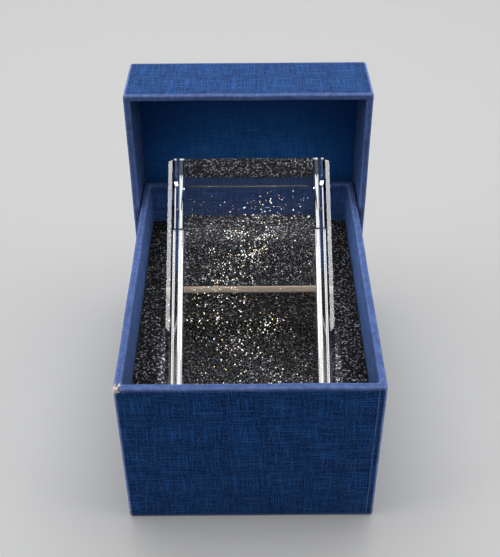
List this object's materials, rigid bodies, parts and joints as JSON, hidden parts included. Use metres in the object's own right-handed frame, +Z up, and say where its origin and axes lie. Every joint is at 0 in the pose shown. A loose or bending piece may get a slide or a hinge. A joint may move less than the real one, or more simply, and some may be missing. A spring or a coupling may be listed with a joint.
{
  "type": "crystal photo block in presentation box",
  "caption": "Clear chamfered glass block leaning in the foam insert of a cloth-covered gift box, with the lift-off lid standing on end behind it.",
  "frame": {"origin": "on the surface it stands on, under the middle of the whole display", "axes": "+Z up, -Y towards the viewer and the front of the box, +X to the viewer's right"},
  "size_m": [0.081, 0.1074, 0.1045],
  "materials": {
    "cover_paper": "linen-embossed matt cover paper",
    "greyboard": "raw greyboard",
    "chipboard": "raw tan chipboard with a cut edge",
    "foam": "black open-cell foam with a glinting surface",
    "crystal": "polished optical glass with marks engraved inside"
  },
  "bodies": {
    "base": {"base_bottom_board": "greyboard", "base_front_board": "greyboard", "base_rear_board": "greyboard", "base_left_board": "greyboard", "base_right_board": "greyboard", "base_front_wrap": "cover_paper", "base_rear_wrap": "cover_paper", "base_left_wrap": "cover_paper", "base_right_wrap": "cover_paper", "base_bottom_sheet": "cover_paper", "base_floor_pad": "foam", "insert_foam": "foam", "insert_card": "chipboard", "insert_left_leg": "chipboard", "insert_right_leg": "chipboard", "insert_rear_leg": "chipboard"},
    "crystal": {"crystal_block": "crystal"},
    "lid": {"lid_panel_board": "greyboard", "lid_lower_board": "greyboard", "lid_upper_board": "greyboard", "lid_left_board": "greyboard", "lid_right_board": "greyboard", "lid_lower_wrap": "cover_paper", "lid_upper_wrap": "cover_paper", "lid_left_wrap": "cover_paper", "lid_right_wrap": "cover_paper", "lid_panel_sheet": "cover_paper", "lid_liner": "cover_paper"}
  },
  "joints": [
    {"name": "crystal_tip", "type": "hinge", "parent": "base", "child": "crystal", "pos_m": [0, -0.05109, 0.04615], "axis": [1, 0, 0], "range_deg": [0, 50]},
    {"name": "lid_slide", "type": "slide", "parent": "base", "child": "lid", "axis": [0, 1, 0], "range_m": [0, 0.06]}
  ]
}
